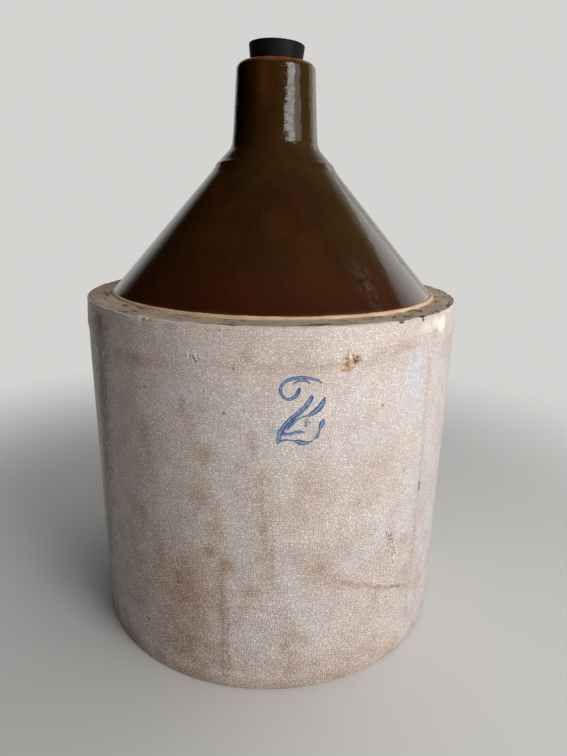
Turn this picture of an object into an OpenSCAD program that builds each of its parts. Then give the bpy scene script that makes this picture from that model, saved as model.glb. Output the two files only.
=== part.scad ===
// Two-gallon stoneware shoulder jug with a rubber stopper.
// Millimetres, Z up. The origin is the centre of the foot, on the table.
// The painted front faces -Y and the handle stands behind, at +Y.
// Body, cone, neck and strap are shaped apart and joined with slip before the firing.

/* [Body] */
// Outer diameter of the body at its top band
body_d = 231; // [190:1:280]
// Height of the ledge above the table, beside the cone
body_h = 212; // [170:1:260]
// Thickness of the body's wall
wall_t = 10; // [8:0.5:14]
// Thickness of the floor
floor_t = 11; // [8:0.5:16]
// Height of the thicker band that ends the wall
band_h = 18; // [14:1:40]
// How far the band stands proud of the wall below it
band_proud = 0.5; // [0.2:0.1:2]
// Rounding of the ledge's outer edge
rim_round = 2; // [1.5:0.25:5]
// Rounding of the foot's edge
foot_round = 2.5; // [1.5:0.25:4]
// Rounding between the floor and the wall, inside
floor_round = 6; // [4:0.5:10]

/* [Ledge] */
// Width of the ledge, from the body's outside to the cone's foot
ledge_w = 16; // [12:0.5:20]
// How much the ledge falls from the cone to its edge
ledge_fall = 0.8; // [0:0.1:1.5]
// Thickness of the flange that the wall ends in, under the cone's seat
flange_t = 14; // [10:0.5:20]
// Depth of the seat that the cone's foot stands in
seat_depth = 4; // [2:0.5:6]
// Width of the seat, from its wall to the flange's inner edge
seat_w = 8; // [6:0.5:10]
// Width of the slip fillet that seals the cone's foot
slip_w = 2; // [1.6:0.1:4]
// Height of the slip fillet
slip_h = 1.3; // [1:0.1:3]

/* [Shoulder cone] */
// Height of the cone, from the slip fillet to the root of the neck
cone_h = 84; // [65:1:100]
// Thickness of the cone's wall at its foot, measured level
cone_wall = 9; // [8:0.5:12]
// Height of the cylindrical land round the cone's opening
land_h = 4; // [3:0.5:6]

/* [Neck] */
// Outer diameter of the neck at its root
neck_d = 51; // [49:0.5:58]
// Height of the neck, from its root to the lip
neck_h = 45; // [36:1:60]
// How much the neck narrows, all across, from its root to the lip
neck_taper = 4.4; // [2:0.2:6]
// Diameter of the mouth's bore
mouth_d = 30.5; // [27:0.5:33]
// Rounding of the lip's outer edge
lip_round = 4; // [2:0.2:5]
// Rounding of the mouth's edge
mouth_round = 1.2; // [0.8:0.1:2]
// Radius of the flare at the neck's foot
flare_r = 10; // [8:0.5:16]
// How far the neck's foot laps down over the cone
lap_h = 11; // [8:0.5:12]
// Thickness of the lap at its lower edge
lap_t = 0.4; // [0.3:0.1:1.2]
// Wall of the spigot that hangs in the cone's opening
spigot_wall = 4.5; // [3:0.25:6]
// Length of the spigot
spigot_h = 8; // [5:0.5:12]

/* [Handle] */
// Width of the strap at its middle
strap_w = 25; // [20:0.5:30]
// Thickness of the strap at its middle
strap_t = 10; // [8:0.5:13]
// How far the strap's outside stands behind the jug's axis
strap_reach = 80; // [72:1:90]
// Height of the strap's upper joint below the lip
strap_drop = 18; // [14:0.5:22]
// Height of the strap's lower joint above the ledge
strap_foot_h = 45; // [40:1:54]

/* [Stopper] */
// Length of the stopper
stopper_h = 25; // [20:0.5:32]
// How far the stopper stands out of the mouth
stopper_out = 9.9; // [8:0.1:14]
// How much wider the stopper's top is than its bottom
stopper_taper = 6; // [5:0.25:7]
// Gap between the stopper and the mouth, all round
stopper_gap = 0.25; // [0.2:0.05:0.4]
// Rounding of the stopper's edges
stopper_round = 0.6; // [0.4:0.1:1]
// How far the stopper leans to the right, in degrees
stopper_lean = 1.8; // [0:0.1:2.4]

/* [Hidden] */
// Gap between two pieces that are joined face to face
joint_gap = 0.05;
// Steps in a quarter of a rounding, and segments round the jug
quarter_steps = 8;
round_steps = 128;
// Rings along the strap, points round it, and how much it swells at its two joints
strap_rings = 30;
strap_sides = 24;
strap_swell_shares = [0.45, 0.3];

body_r = body_d / 2;
wall_r = body_r - band_proud;
inner_r = body_r - wall_t;
foot_r = body_r - ledge_w;
flange_r = foot_r - seat_w;
seat_z = body_h - seat_depth;
cone_z = body_h + slip_h;
neck_r = neck_d / 2;
lip_r = neck_r - neck_taper / 2;
mouth_r = mouth_d / 2;
root_z = cone_z + cone_h;
lip_z = root_z + neck_h;
cone_slope = (foot_r - neck_r) / cone_h;
spigot_r = mouth_r + spigot_wall;
// Where the lap ends on the cone, and where the cone is cut off level beneath it
lap_z = root_z - lap_h;
cut_z = root_z - lap_h / 2;

// Radius of the cone's outside at a height
function cone_r(z) = foot_r - (z - cone_z) * cone_slope;
// Radius of the neck's outside at a height
function side_r(z) = neck_r - (z - root_z) * neck_taper / 2 / neck_h;
// Points of an arc about a centre, from one angle to another
function arc(centre, r, from, to, steps = quarter_steps) =
    [for (i = [0 : steps]) let (a = from + (to - from) * i / steps) centre + r * [cos(a), sin(a)]];

module turned(points) {
    rotate_extrude($fn = round_steps) polygon(points);
}

// The wall and floor, thrown as one, ending in a ledge with a seat for the cone
module body_crock() {
    band_z = body_h - band_h;
    ramp_h = 4 * band_proud;
    flange_z = seat_z - flange_t;
    outside = concat(
        [[0, 0]],
        arc([wall_r - foot_round, foot_round], foot_round, -90, 0),
        [[wall_r, band_z - ramp_h], [body_r, band_z + ramp_h]],
        arc([body_r - rim_round, body_h - ledge_fall - rim_round], rim_round, 0, 90)
    );
    seat = [
        [foot_r + slip_w, body_h],
        [foot_r + joint_gap, body_h],
        [foot_r + joint_gap, seat_z],
        [flange_r, seat_z],
        [flange_r, flange_z],
        [inner_r, flange_z - (inner_r - flange_r)]
    ];
    inside = concat(arc([inner_r - floor_round, floor_t + floor_round], floor_round, 0, -90), [[0, floor_t]]);
    color("#cdbfb2") turned(concat(outside, seat, inside));
}

// The bare fillet of slip between the ledge and the cone
module slip_fillet() {
    low = body_h + joint_gap;
    heel_r = foot_r + joint_gap;
    color("#c8a67c") turned([
        [heel_r, low],
        [foot_r + slip_w, low],
        [foot_r + slip_w * 5 / 6, low + slip_h / 3],
        [foot_r + slip_w / 2, low + slip_h * 3 / 4],
        [heel_r, cone_z]
    ]);
}

// The thrown cone, standing in the seat and open at the top for the neck
module shoulder_cone() {
    opening_r = spigot_r + joint_gap;
    color("#38200f") turned([
        [flange_r, seat_z + joint_gap],
        [foot_r, seat_z + joint_gap],
        [foot_r, cone_z],
        [cone_r(cut_z), cut_z],
        [opening_r, cut_z],
        [opening_r, cut_z - land_h],
        [foot_r - cone_wall, cone_z],
        [flange_r, body_h]
    ]);
}

// The outside of the neck from the lap's edge, round the flare, to the lip
function neck_outline() =
    let (
        foot = [cone_r(lap_z) + joint_gap + lap_t, lap_z + lap_t],
        lap_angle = atan2(foot[0] - neck_r, root_z - foot[1]),
        side_angle = atan(neck_taper / 2 / neck_h),
        leg = flare_r * tan((lap_angle - side_angle) / 2),
        bend = [neck_r, root_z] + leg * [-sin(side_angle), cos(side_angle)],
        centre = bend + flare_r * [cos(side_angle), sin(side_angle)]
    )
    concat(
        [[cone_r(lap_z) + joint_gap, lap_z], foot],
        arc(centre, flare_r, 180 + lap_angle, 180 + side_angle),
        arc([lip_r - lip_round, lip_z - lip_round], lip_round, side_angle, 90)
    );

// The neck, lapped over the cone outside and hanging in its opening inside
module neck_collar() {
    spigot_z = cut_z - spigot_h;
    inside = concat(
        arc([mouth_r + mouth_round, lip_z - mouth_round], mouth_round, 90, 180),
        arc([mouth_r + spigot_wall / 2, spigot_z + spigot_wall / 2], spigot_wall / 2, 180, 360),
        [[spigot_r, cut_z + joint_gap], [cone_r(cut_z) + joint_gap, cut_z + joint_gap]]
    );
    color("#3a210f") turned(concat(neck_outline(), inside));
}

// Middle line of the strap as [y, z], from the neck over the top and down to the cone
function strap_line(t) =
    let (
        top_z = lip_z - strap_drop,
        low_z = body_h + strap_foot_h,
        // A cubic curve reaches three quarters of the way to its two outer handles
        far_y = (strap_reach - strap_t / 2 - neck_r / 2) * 4 / 3,
        start = [side_r(top_z) - strap_t, top_z - strap_t / 2],
        over = [far_y, top_z + strap_t * 2],
        under = [far_y + strap_t, low_z + strap_t * 2],
        end = [cone_r(low_z) - strap_t, low_z - strap_t / 2]
    )
    pow(1 - t, 3) * start + 3 * pow(1 - t, 2) * t * over + 3 * (1 - t) * t * t * under + pow(t, 3) * end;

// Points of the strap's rounded section at a place along the line
function strap_ring(t) =
    let (
        at = strap_line(t),
        along = strap_line(t + 1 / strap_rings) - strap_line(t - 1 / strap_rings),
        across = [along[1], -along[0]] / norm(along),
        swell = 1 + strap_swell_shares[0] * pow(1 - t, 6) + strap_swell_shares[1] * pow(t, 8)
    )
    [
        for (j = [0 : strap_sides - 1])
            let (
                a = 360 * j / strap_sides,
                u = strap_w / 2 * swell * sign(cos(a)) * pow(abs(cos(a)), 0.8),
                v = strap_t / 2 * swell * sign(sin(a)) * pow(abs(sin(a)), 0.8)
            )
            [u, at[0] + v * across[0], at[1] + v * across[1]]
    ];

module strap() {
    points = [for (i = [0 : strap_rings]) each strap_ring(i / strap_rings)];
    sides = [
        for (i = [0 : strap_rings - 1], j = [0 : strap_sides - 1])
            let (p = i * strap_sides + j, q = i * strap_sides + (j + 1) % strap_sides)
            each [[p, p + strap_sides, q + strap_sides], [p, q + strap_sides, q]]
    ];
    start = [for (j = [0 : strap_sides - 1]) j];
    end = [for (j = [strap_sides - 1 : -1 : 0]) strap_rings * strap_sides + j];
    polyhedron(points, concat([start, end], sides));
}

// The pulled strap, cut off where it meets the neck and the cone
module handle_strap() {
    gap = 2 * joint_gap;
    neck_cut = [for (p = neck_outline()) p + [gap, 0]];
    color("#35200f") difference() {
        strap();
        turned(concat([[0, body_h]], [[neck_cut[0][0], body_h]], neck_cut, [[0, lip_z]]));
        turned([[0, body_h], [foot_r + gap, cone_z], [neck_r + gap, root_z], [0, root_z]]);
    }
}

// The tapered rubber stopper, pushed into the mouth and leaning a little
module stopper() {
    taper = stopper_taper / 2 / stopper_h;
    // It just clears the mouth in the plane of the lip
    top_r = mouth_r - stopper_gap + stopper_out * taper;
    low_r = top_r - stopper_taper / 2;
    low_edge = arc([low_r - stopper_round, stopper_round], stopper_round, -90, 0);
    top_edge = arc([top_r - stopper_round, stopper_h - stopper_round], stopper_round, 0, 90);
    color("#17181b")
        translate([0, 0, lip_z])
            rotate([0, stopper_lean, 0])
                translate([0, 0, stopper_out - stopper_h])
                    turned(concat([[0, 0]], low_edge, top_edge, [[0, stopper_h]]));
}

body_crock();
slip_fillet();
shoulder_cone();
neck_collar();
handle_strap();
stopper();
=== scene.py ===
import math

import bpy
import numpy as np
from mathutils import Matrix, Vector


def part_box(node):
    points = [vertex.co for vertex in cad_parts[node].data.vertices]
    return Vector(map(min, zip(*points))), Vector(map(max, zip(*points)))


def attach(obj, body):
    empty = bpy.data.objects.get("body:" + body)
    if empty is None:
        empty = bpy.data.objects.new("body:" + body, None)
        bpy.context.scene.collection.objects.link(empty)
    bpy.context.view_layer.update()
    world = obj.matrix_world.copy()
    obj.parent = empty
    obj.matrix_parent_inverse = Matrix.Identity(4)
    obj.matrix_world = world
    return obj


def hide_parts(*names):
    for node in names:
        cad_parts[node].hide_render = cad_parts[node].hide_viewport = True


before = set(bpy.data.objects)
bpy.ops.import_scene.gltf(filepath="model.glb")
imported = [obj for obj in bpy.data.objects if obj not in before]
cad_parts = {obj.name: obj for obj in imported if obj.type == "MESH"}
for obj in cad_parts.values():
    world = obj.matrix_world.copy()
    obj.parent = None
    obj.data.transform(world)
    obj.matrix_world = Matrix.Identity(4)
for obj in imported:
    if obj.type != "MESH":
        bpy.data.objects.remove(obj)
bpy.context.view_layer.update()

# The crock
# Thrown stoneware: the wall and the floor are one piece. The wall ends in a slightly thicker band
# and a flat ledge, wiped bare of glaze because the pots were stacked on it in the kiln. White
# glaze covers the outside and has crazed into a fine net, which a century of use has stained.
mm = 0.001
crock_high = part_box("body_crock")[1]
crock_radius = crock_high.x
crock_height = crock_high.z
band_height = 0.018
band_proud = 0.0005
wall_thickness = 0.01
floor_thickness = 0.011
ledge_width = 0.016
ledge_fall = 0.0008
rim_rounding = 0.002
foot_rounding = 0.0025
flange_thickness = 0.014
seat_depth = 0.004
seat_width = 0.008
slip_width = 0.002
slip_height = 0.0013
rim_inset = 0.001
band_slope = 0.002
floor_rounding = 0.006
crock_sides = 560
underside_steps = 9
ledge_steps = 16
slow_wave = 0.00022
quick_wave = 0.00007
run_height = 0.00042
pit_depth = 0.0004
nick_depth = 0.0011
bead_height = 0.00022
scrape_depth = 0.00012


def line(start, end, count):
    """Points at even steps from start to end, without the end."""
    share = np.arange(count)[:, None] / count
    return np.array(start) * (1 - share) + np.array(end) * share


def arc(centre, radius, start, stop, count):
    """Points of a circle about centre: radius times (cos a, sin a), with the angle a in degrees
    going from start to stop in even steps, the end left out."""
    a = np.radians(start + (stop - start) * np.arange(count) / count)
    return np.array(centre) + radius * np.stack([np.cos(a), np.sin(a)], 1)


def outline_of(*stops):
    """An outline through its stops. A stop is the points of an arc, or a corner and the number of
    points at even steps from it to where the next stop starts. The last one goes on to the first."""
    parts = []
    for stop, following in zip(stops, (*stops[1:], stops[0])):
        parts.append(line(stop[0], following[0], stop[1]) if isinstance(stop, tuple) else stop)
    return np.concatenate(parts)


def hill(away, width):
    """A smooth hill of height 1: exp(-(away / width)^2)."""
    return np.exp(-((away / width) ** 2))


def ripple(azimuth, height, seed, around, rise, waves=9):
    """A smooth random surface between about -1 and 1: the mean of cosines whose whole number of
    waves round the jug is up to `around`, and whose waves along the height are up to `rise` per metre."""
    draw = np.random.default_rng(seed)
    total = np.zeros(np.broadcast(azimuth, height).shape)
    for turn, climb, phase in zip(
        draw.integers(0, around + 1, waves), draw.uniform(-rise, rise, waves), draw.uniform(0, 7, waves)
    ):
        total = total + np.cos(turn * azimuth + math.tau * climb * height + phase)
    return total / math.sqrt(waves)


def spots(azimuth, height, radius, places):
    """The strongest of a list of soft spots at each point. A place is its azimuth in degrees, its
    height, half width and half height in millimetres, and its strength, which falls off as
    exp(-distance^2)."""
    total = np.zeros(np.broadcast(azimuth, height).shape)
    for at, level, half_width, half_height, strength in places:
        # The nearer way round: azimuths go from 0 to a full turn, and places lie on both sides of 0
        turn = (azimuth - math.radians(at) + math.pi) % math.tau - math.pi
        across = turn * radius / (half_width * mm)
        upward = (height - level * mm) / (half_height * mm)
        total = np.maximum(total, strength * np.exp(-(across**2) - upward**2))
    return total


def put_in_scene(name, points, faces, smooth_below=40):
    """Makes a mesh object from an array of points and lists of corner numbers, with smooth shading
    across every edge that turns by less than `smooth_below` degrees."""
    mesh = bpy.data.meshes.new(name)
    mesh.from_pydata(points.reshape(-1, 3).tolist(), [], [f for part in faces for f in part.tolist()])
    mesh.shade_smooth()
    mesh.set_sharp_from_angle(angle=math.radians(smooth_below))
    made = bpy.data.objects.new(name, mesh)
    bpy.context.collection.objects.link(made)
    return made


def round_the_axis(outline, sides):
    """The azimuth of each of the sides, and the outline's radii, heights and outward normals as
    columns. Going up the outside and in over the top, outwards is to the outline's right."""
    azimuth = math.tau * np.arange(sides)[None, :] / sides
    along = np.gradient(outline, axis=0)
    along /= np.linalg.norm(along, axis=1)[:, None] + 1e-12
    return azimuth, outline[:, :1], outline[:, 1:], along[:, 1:], -along[:, :1]


def quads_between(low, high, sides):
    """Corner numbers of the quads between rings of points. A ring is the number of its first point."""
    here = np.arange(sides)
    ahead = (here + 1) % sides
    return np.stack([low + here, low + ahead, high + ahead, high + here], 2).reshape(-1, 4)


def with_poles(values):
    """Values on (rows, sides) as one for each point of a turned piece whose first and last rows are
    single points on the axis."""
    return np.concatenate([values[:1, 0], values[1:-1].reshape(-1, *values.shape[2:]), values[-1:, 0]])


def turned(name, outline, sides, relief, ring=False):
    """A turned piece. Each outline point (radius, height) goes round the Z axis, from azimuth 0 at
    the front: x = radius sin a, y = -radius cos a. relief(azimuth, radius, height) is how far a
    point stands out along the outline's normal. The outline starts and ends on the axis, or with
    ring=True it is a closed loop."""
    azimuth, radius, height, out_r, out_z = round_the_axis(outline, sides)
    lift = relief(azimuth, radius, height)
    r, z = radius + lift * out_r, height + lift * out_z
    points = np.stack([r * np.sin(azimuth), -r * np.cos(azimuth), z + 0 * azimuth], 2)
    rows = np.arange(len(outline))[:, None] * sides
    if ring:
        return put_in_scene(name, points, [quads_between(rows, np.roll(rows, -1, 0), sides)])
    low = 1 + rows[:-3]
    top = 1 + (len(outline) - 2) * sides
    here = np.arange(sides)
    ahead = (here + 1) % sides
    start = np.stack([0 * here, 1 + ahead, 1 + here], 1)
    end = np.stack([top - sides + here, top - sides + ahead, top + 0 * here], 1)
    return put_in_scene(name, with_poles(points), [quads_between(low, low + sides, sides), start, end])


def keep_mask(piece, name, values):
    """Stores one number per point on a piece, for its material to read."""
    numbers = values.astype(np.float32).ravel()
    piece.data.attributes.new(name, "FLOAT", "POINT").data.foreach_set("value", numbers)


wall_radius = crock_radius - band_proud
rim_radius = crock_radius - rim_inset
ledge_start = rim_radius - rim_rounding
inner_radius = crock_radius - wall_thickness
cone_foot_radius = crock_radius - ledge_width
flange_radius = cone_foot_radius - seat_width
floor_radius = inner_radius - floor_rounding
band_level = crock_height - band_height
seat_level = crock_height - seat_depth
edge_level = crock_height - ledge_fall - rim_rounding
flange_level = seat_level - flange_thickness
chamfer = inner_radius - flange_radius

crock_outline = outline_of(
    ((0, 0), underside_steps),
    arc((wall_radius - foot_rounding, foot_rounding), foot_rounding, -90, 0, 5),
    ((wall_radius, foot_rounding), 88), ((wall_radius, band_level - band_slope), 4),
    ((crock_radius, band_level + band_slope), 8),
    arc((ledge_start, edge_level), rim_rounding, 0, 90, 9),
    ((ledge_start, crock_height - ledge_fall), ledge_steps), ((cone_foot_radius, crock_height), 2),
    ((cone_foot_radius, seat_level), 2), ((flange_radius, seat_level), 3),
    ((flange_radius, flange_level), 3), ((inner_radius, flange_level - chamfer), 9),
    arc((floor_radius, floor_thickness + floor_rounding), floor_rounding, 0, -90, 4),
    ((floor_radius, floor_thickness), 5), ((0, floor_thickness), 1),
)
# The steps of the wall alone, from the foot's rounding to the rim's
wall_steps = 5 + 88 + 4 + 8 + 9

# Places on the wall, in degrees and millimetres: azimuth, height, half width, half height and
# strength. On the ledge the distance from the axis stands in for the height.
glaze_run = [(-19.6, 45, 2.1, 36, 0.9), (-19.4, 12.5, 3.1, 4.2, 1), (42, 110, 2.2, 80, 0.9)]
rust_spots = [(10.8, 192.4, 1.6, 1.7, 1.1), (13, 194.2, 1.6, 1.8, 1.1), (10.4, 195.7, 1.2, 1.4, 0.7)]
# Stains, and painted shade: the places far left, from azimuth -47 to -66, darken the side turned from the
# light, and the thin lines at 189 and 191.5 mm are painted shade under the band
stains_and_painted_shade = [
    (-30, 169, 2.8, 5.8, 0.85), (-28.3, 161, 3.4, 7, 0.8), (-24.6, 170, 4.2, 4.5, 0.55),
    (-13.3, 197, 3, 3.4, 0.7), (-41.7, 139, 2.5, 9, 0.7), (-25, 144, 6.2, 6, 0.75),
    (-26.5, 122, 7, 10, 0.8), (-22, 106, 5.5, 14, 0.6), (-23.5, 89, 4.5, 6, 1), (-19.3, 81, 6, 8, 0.9),
    (-30, 60, 17, 26, 1.15), (-31, 26, 21, 20, 0.95), (-39.5, 77, 6, 15, 0.6), (-45.6, 99, 5, 9, 0.75),
    (-27.5, 110, 1.8, 7, 0.55), (-7.1, 86, 2.2, 16, 0.85), (-8, 118, 2.8, 18, 0.55),
    (-12, 67, 7, 3.8, 0.8), (5.6, 80, 11, 8, 0.7), (10, 71.5, 8.5, 5, 0.65), (3, 128, 11, 13, 0.5),
    (-1, 87, 10, 10, 0.45), (-13.5, 135, 10, 18, 0.4), (13, 90, 7, 11, 0.45), (21, 136, 13, 17, 0.4),
    (27, 78, 8, 8, 0.4), (-4, 18, 22, 7, 0.5), (12, 16, 20, 6, 0.4), (-60, 199, 6, 11, 0.95),
    (-63, 150, 7, 50, 0.7), (-50, 105, 24, 120, 0.22), (-47, 189, 24, 4, 0.8), (-66, 201, 8, 10, 0.95),
    (-12, 152.5, 3, 10, 0.75), (-43, 150, 4, 12, 0.65), (28, 197.5, 16, 3.4, 0.75),
    (0, 191.5, 50, 2.2, 0.5), (-19.6, 45, 2.2, 37, 0.8), (70, 110, 15, 40, 0.4),
    (105, 70, 21, 28, 0.65), (140, 145, 12, 30, 0.55), (175, 60, 26, 20, 0.7), (-150, 120, 15, 38, 0.6),
    (-118, 50, 24, 24, 0.75), (-85, 140, 13, 30, 0.5),
]
ledge_grime = [
    (-40.5, 100, 5, 0.8, 1.2), (-36, 100.5, 9, 0.7, 1.2), (-15.5, 104, 5, 1, 1.2),
    (28.5, 106, 6, 1, 1.2), (35.5, 112, 6, 1.3, 1.4), (40, 103.5, 4, 1.4, 1.1),
    (-57, 110.5, 15, 0.6, 1.2), (-70, 106.5, 12, 0.8, 1.1), (-49, 108.5, 4, 0.7, 1.2),
    (9.5, 111.5, 7, 0.8, 1.1), (60, 111, 20, 0.9, 1.1), (100, 102, 9, 1, 1.1), (150, 109, 11, 1, 1.1),
    (-120, 105, 12, 1, 1.1), (-165, 100, 10, 1, 1.1), (-24, 100.6, 8, 0.8, 1.1),
    (-80, 101.5, 6, 1, 1.2), (20, 100.8, 7, 0.8, 1.1), (-47, 103, 9, 0.6, 1.2),
    (-30, 107, 12, 0.5, 1.1), (-5, 100.6, 9, 0.6, 1.1),
]
# Milky glaze, and on the right, at azimuth 33.5 and 44, a painted bluish reflection
milk_and_reflection_patches = [
    (33.5, 178, 12, 23, 1), (44, 130, 15, 65, 0.55), (20, 150, 14, 12, 0.6), (-31, 175, 13, 9, 0.6),
    (-12, 148, 15, 7, 0.5), (-2, 85, 8, 12, 0.5), (14, 83, 15, 8, 0.6), (-24, 53, 4, 14, 0.5),
    (-13, 90, 9, 14, 0.5), (95, 150, 20, 30, 0.6), (160, 110, 25, 30, 0.6), (-140, 160, 25, 25, 0.6),
    (-95, 90, 20, 30, 0.6),
]
soot_sprinkles = [
    (-58.1, 192.2, 2.2, 1.8, 1), (-45.6, 99, 3, 4, 0.8), (23, 114, 2, 2, 0.9), (-36, 56, 2.4, 3, 0.9),
    (-40, 52, 3, 6, 0.8), (12.5, 196.5, 2.2, 2.2, 1), (118, 150, 4, 5, 0.9), (-130, 100, 4, 7, 0.9),
    (172, 175, 5, 4, 0.9),
]
glossy_places = [(-75, 105, 48, 400, 1.15), (48, 206, 10, 8, 1), (120, 150, 40, 80, 0.8)]
blue_haze = [(-6.6, 160, 4, 1.6, 0.6), (-4, 159, 6, 2, 0.6), (0.6, 159.2, 5, 1, 0.4)]
edge_nicks = [
    (-41.8, 210.6, 1.6, 2.2, 0.8), (-39.9, 210.8, 0.8, 1.5, 0.6), (9.5, 210, 3.5, 1.2, 0.5),
    (26.9, 210.6, 3, 2, 0.9), (30, 210.8, 2, 1.6, 0.7), (35.4, 210, 1.6, 2.4, 0.9),
    (44, 210.6, 1.2, 1.8, 0.7), (80, 210.4, 2.2, 2.2, 0.8), (122, 210.6, 3, 2, 0.9),
    (-97, 210.4, 1.8, 2, 0.8), (-160, 210.4, 2.6, 2.2, 0.8),
]


def glaze_edge(azimuth):
    """Radius at which the wiped glaze ends on the ledge: at the very rim on the left, and up to
    1 mm further in on the right, with a ragged line."""
    further_in = 0.5005 + 0.5 * np.cos(azimuth - math.radians(75))
    ragged = 0.00025 * ripple(azimuth, 0, 8, 90, 1, 24)
    return rim_radius - 0.0006 - 0.0011 * further_in + ragged


def crock_relief(azimuth, radius, height):
    """The wall's slow unevenness, the raised run of glaze, the rust pits and nicks in the edge, and
    the low bead where the glaze ends on the ledge. Only the outside and the ledge are uneven."""
    outside = (radius > cone_foot_radius + 0.0005) & (height > 0.002)
    on_top = height > edge_level
    slow = slow_wave * ripple(azimuth, height, 3, 5, 9)
    quick = quick_wave * ripple(azimuth, height, 5, 24, 40, 16)
    run = run_height * spots(azimuth, height, radius, glaze_run)
    pits = pit_depth * spots(azimuth, height, radius, rust_spots)
    nicks = nick_depth * spots(azimuth, height, radius, edge_nicks)
    bead = bead_height * hill(radius - glaze_edge(azimuth) - 0.0005, 0.0006) * on_top
    scraped = on_top * (radius < rim_radius - 0.001) * ripple(azimuth, radius, 9, 60, 700, 16)
    return outside * (slow + quick + run - pits - nicks + bead + scrape_depth * scraped)


crock = turned("crock", crock_outline, crock_sides, crock_relief)
crock_azimuth, row_radius, row_height = round_the_axis(crock_outline, crock_sides)[:3]
past_cone = row_radius > cone_foot_radius
on_top = row_height > edge_level
crock_masks = {
    "stain_and_shade": stains_and_painted_shade, "gloss": glossy_places, "nick": edge_nicks, "blue": blue_haze,
    "milk_and_reflection": milk_and_reflection_patches, "soot": soot_sprinkles,
}
for mask, places in crock_masks.items():
    value = spots(crock_azimuth, row_height, crock_radius, places) * past_cone * (row_height > 0)
    keep_mask(crock, mask, with_poles(value))
wiped = ((glaze_edge(crock_azimuth) - row_radius) / 0.0005 + 0.5).clip(0, 1)
bare = (wiped * on_top + (row_radius < 0.001) + (row_height < 0.0004)).clip(0, 1)
keep_mask(crock, "bare", with_poles(bare))
grime = spots(crock_azimuth, row_radius, crock_radius, ledge_grime) * on_top * past_cone
keep_mask(crock, "grime", with_poles(grime))

# The crock laid out for its texture: the front and the back half of the wall one over the other,
# then the ledge, the inside and the underside as strips. u goes round and v goes along the outline.
wall_from = underside_steps
ledge_from = wall_from + wall_steps
seat_from = ledge_from + ledge_steps
strips = [
    (0, wall_from, 0.945, 0.995), (wall_from, ledge_from, 0.005, 0.405),
    (ledge_from, seat_from, 0.825, 0.875), (seat_from, len(crock_outline) - 1, 0.885, 0.935),
]
back_shift = 0.41
steps_out = np.linalg.norm(np.diff(crock_outline, axis=0), axis=1)
row_low, row_high = np.zeros((2, len(steps_out)))
for first, last, v_low, v_high in strips:
    so_far = np.concatenate([[0], np.cumsum(steps_out[first:last])])
    v = v_low + (v_high - v_low) * so_far / so_far[-1]
    row_low[first:last], row_high[first:last] = v[:-1], v[1:]
column = np.arange(crock_sides)[None, :]
quarter = crock_sides // 4
quad_row = np.arange(1, len(crock_outline) - 2)[:, None]
on_wall = (quad_row >= wall_from) & (quad_row < ledge_from)
at_back = on_wall & (column >= quarter) & (column < 3 * quarter)
u_step = np.where(on_wall, 2 / crock_sides, 1 / crock_sides)
u_left = np.where(on_wall, (column + quarter) % crock_sides % (2 * quarter), column) * u_step
v_under = row_low[quad_row] + back_shift * at_back
v_over = row_high[quad_row] + back_shift * at_back
quad_u = np.stack([u_left, u_left + u_step, u_left + u_step, u_left], 2)
quad_v = np.stack([v_under, v_under, v_over, v_over], 2)


def fan_corners(*corners):
    """Texture places of the triangles round a pole: each corner as a share of a side, and its v."""
    side = np.arange(crock_sides)
    pairs = [((side + share) / crock_sides, 0 * side + v) for share, v in corners]
    return np.stack([value for pair in pairs for value in pair], 1)


start_uv = fan_corners((0.5, row_low[0]), (1, row_high[0]), (0, row_high[0]))
end_uv = fan_corners((0, row_low[-1]), (1, row_low[-1]), (0.5, row_high[-1]))
flat_uv = np.concatenate([np.stack([quad_u, quad_v], 3).ravel(), start_uv.ravel(), end_uv.ravel()])
crock.data.uv_layers.new(name="OFBake").uv.foreach_set("vector", flat_uv.astype(np.float32))
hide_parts("body_crock")
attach(crock, "jug")


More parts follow.
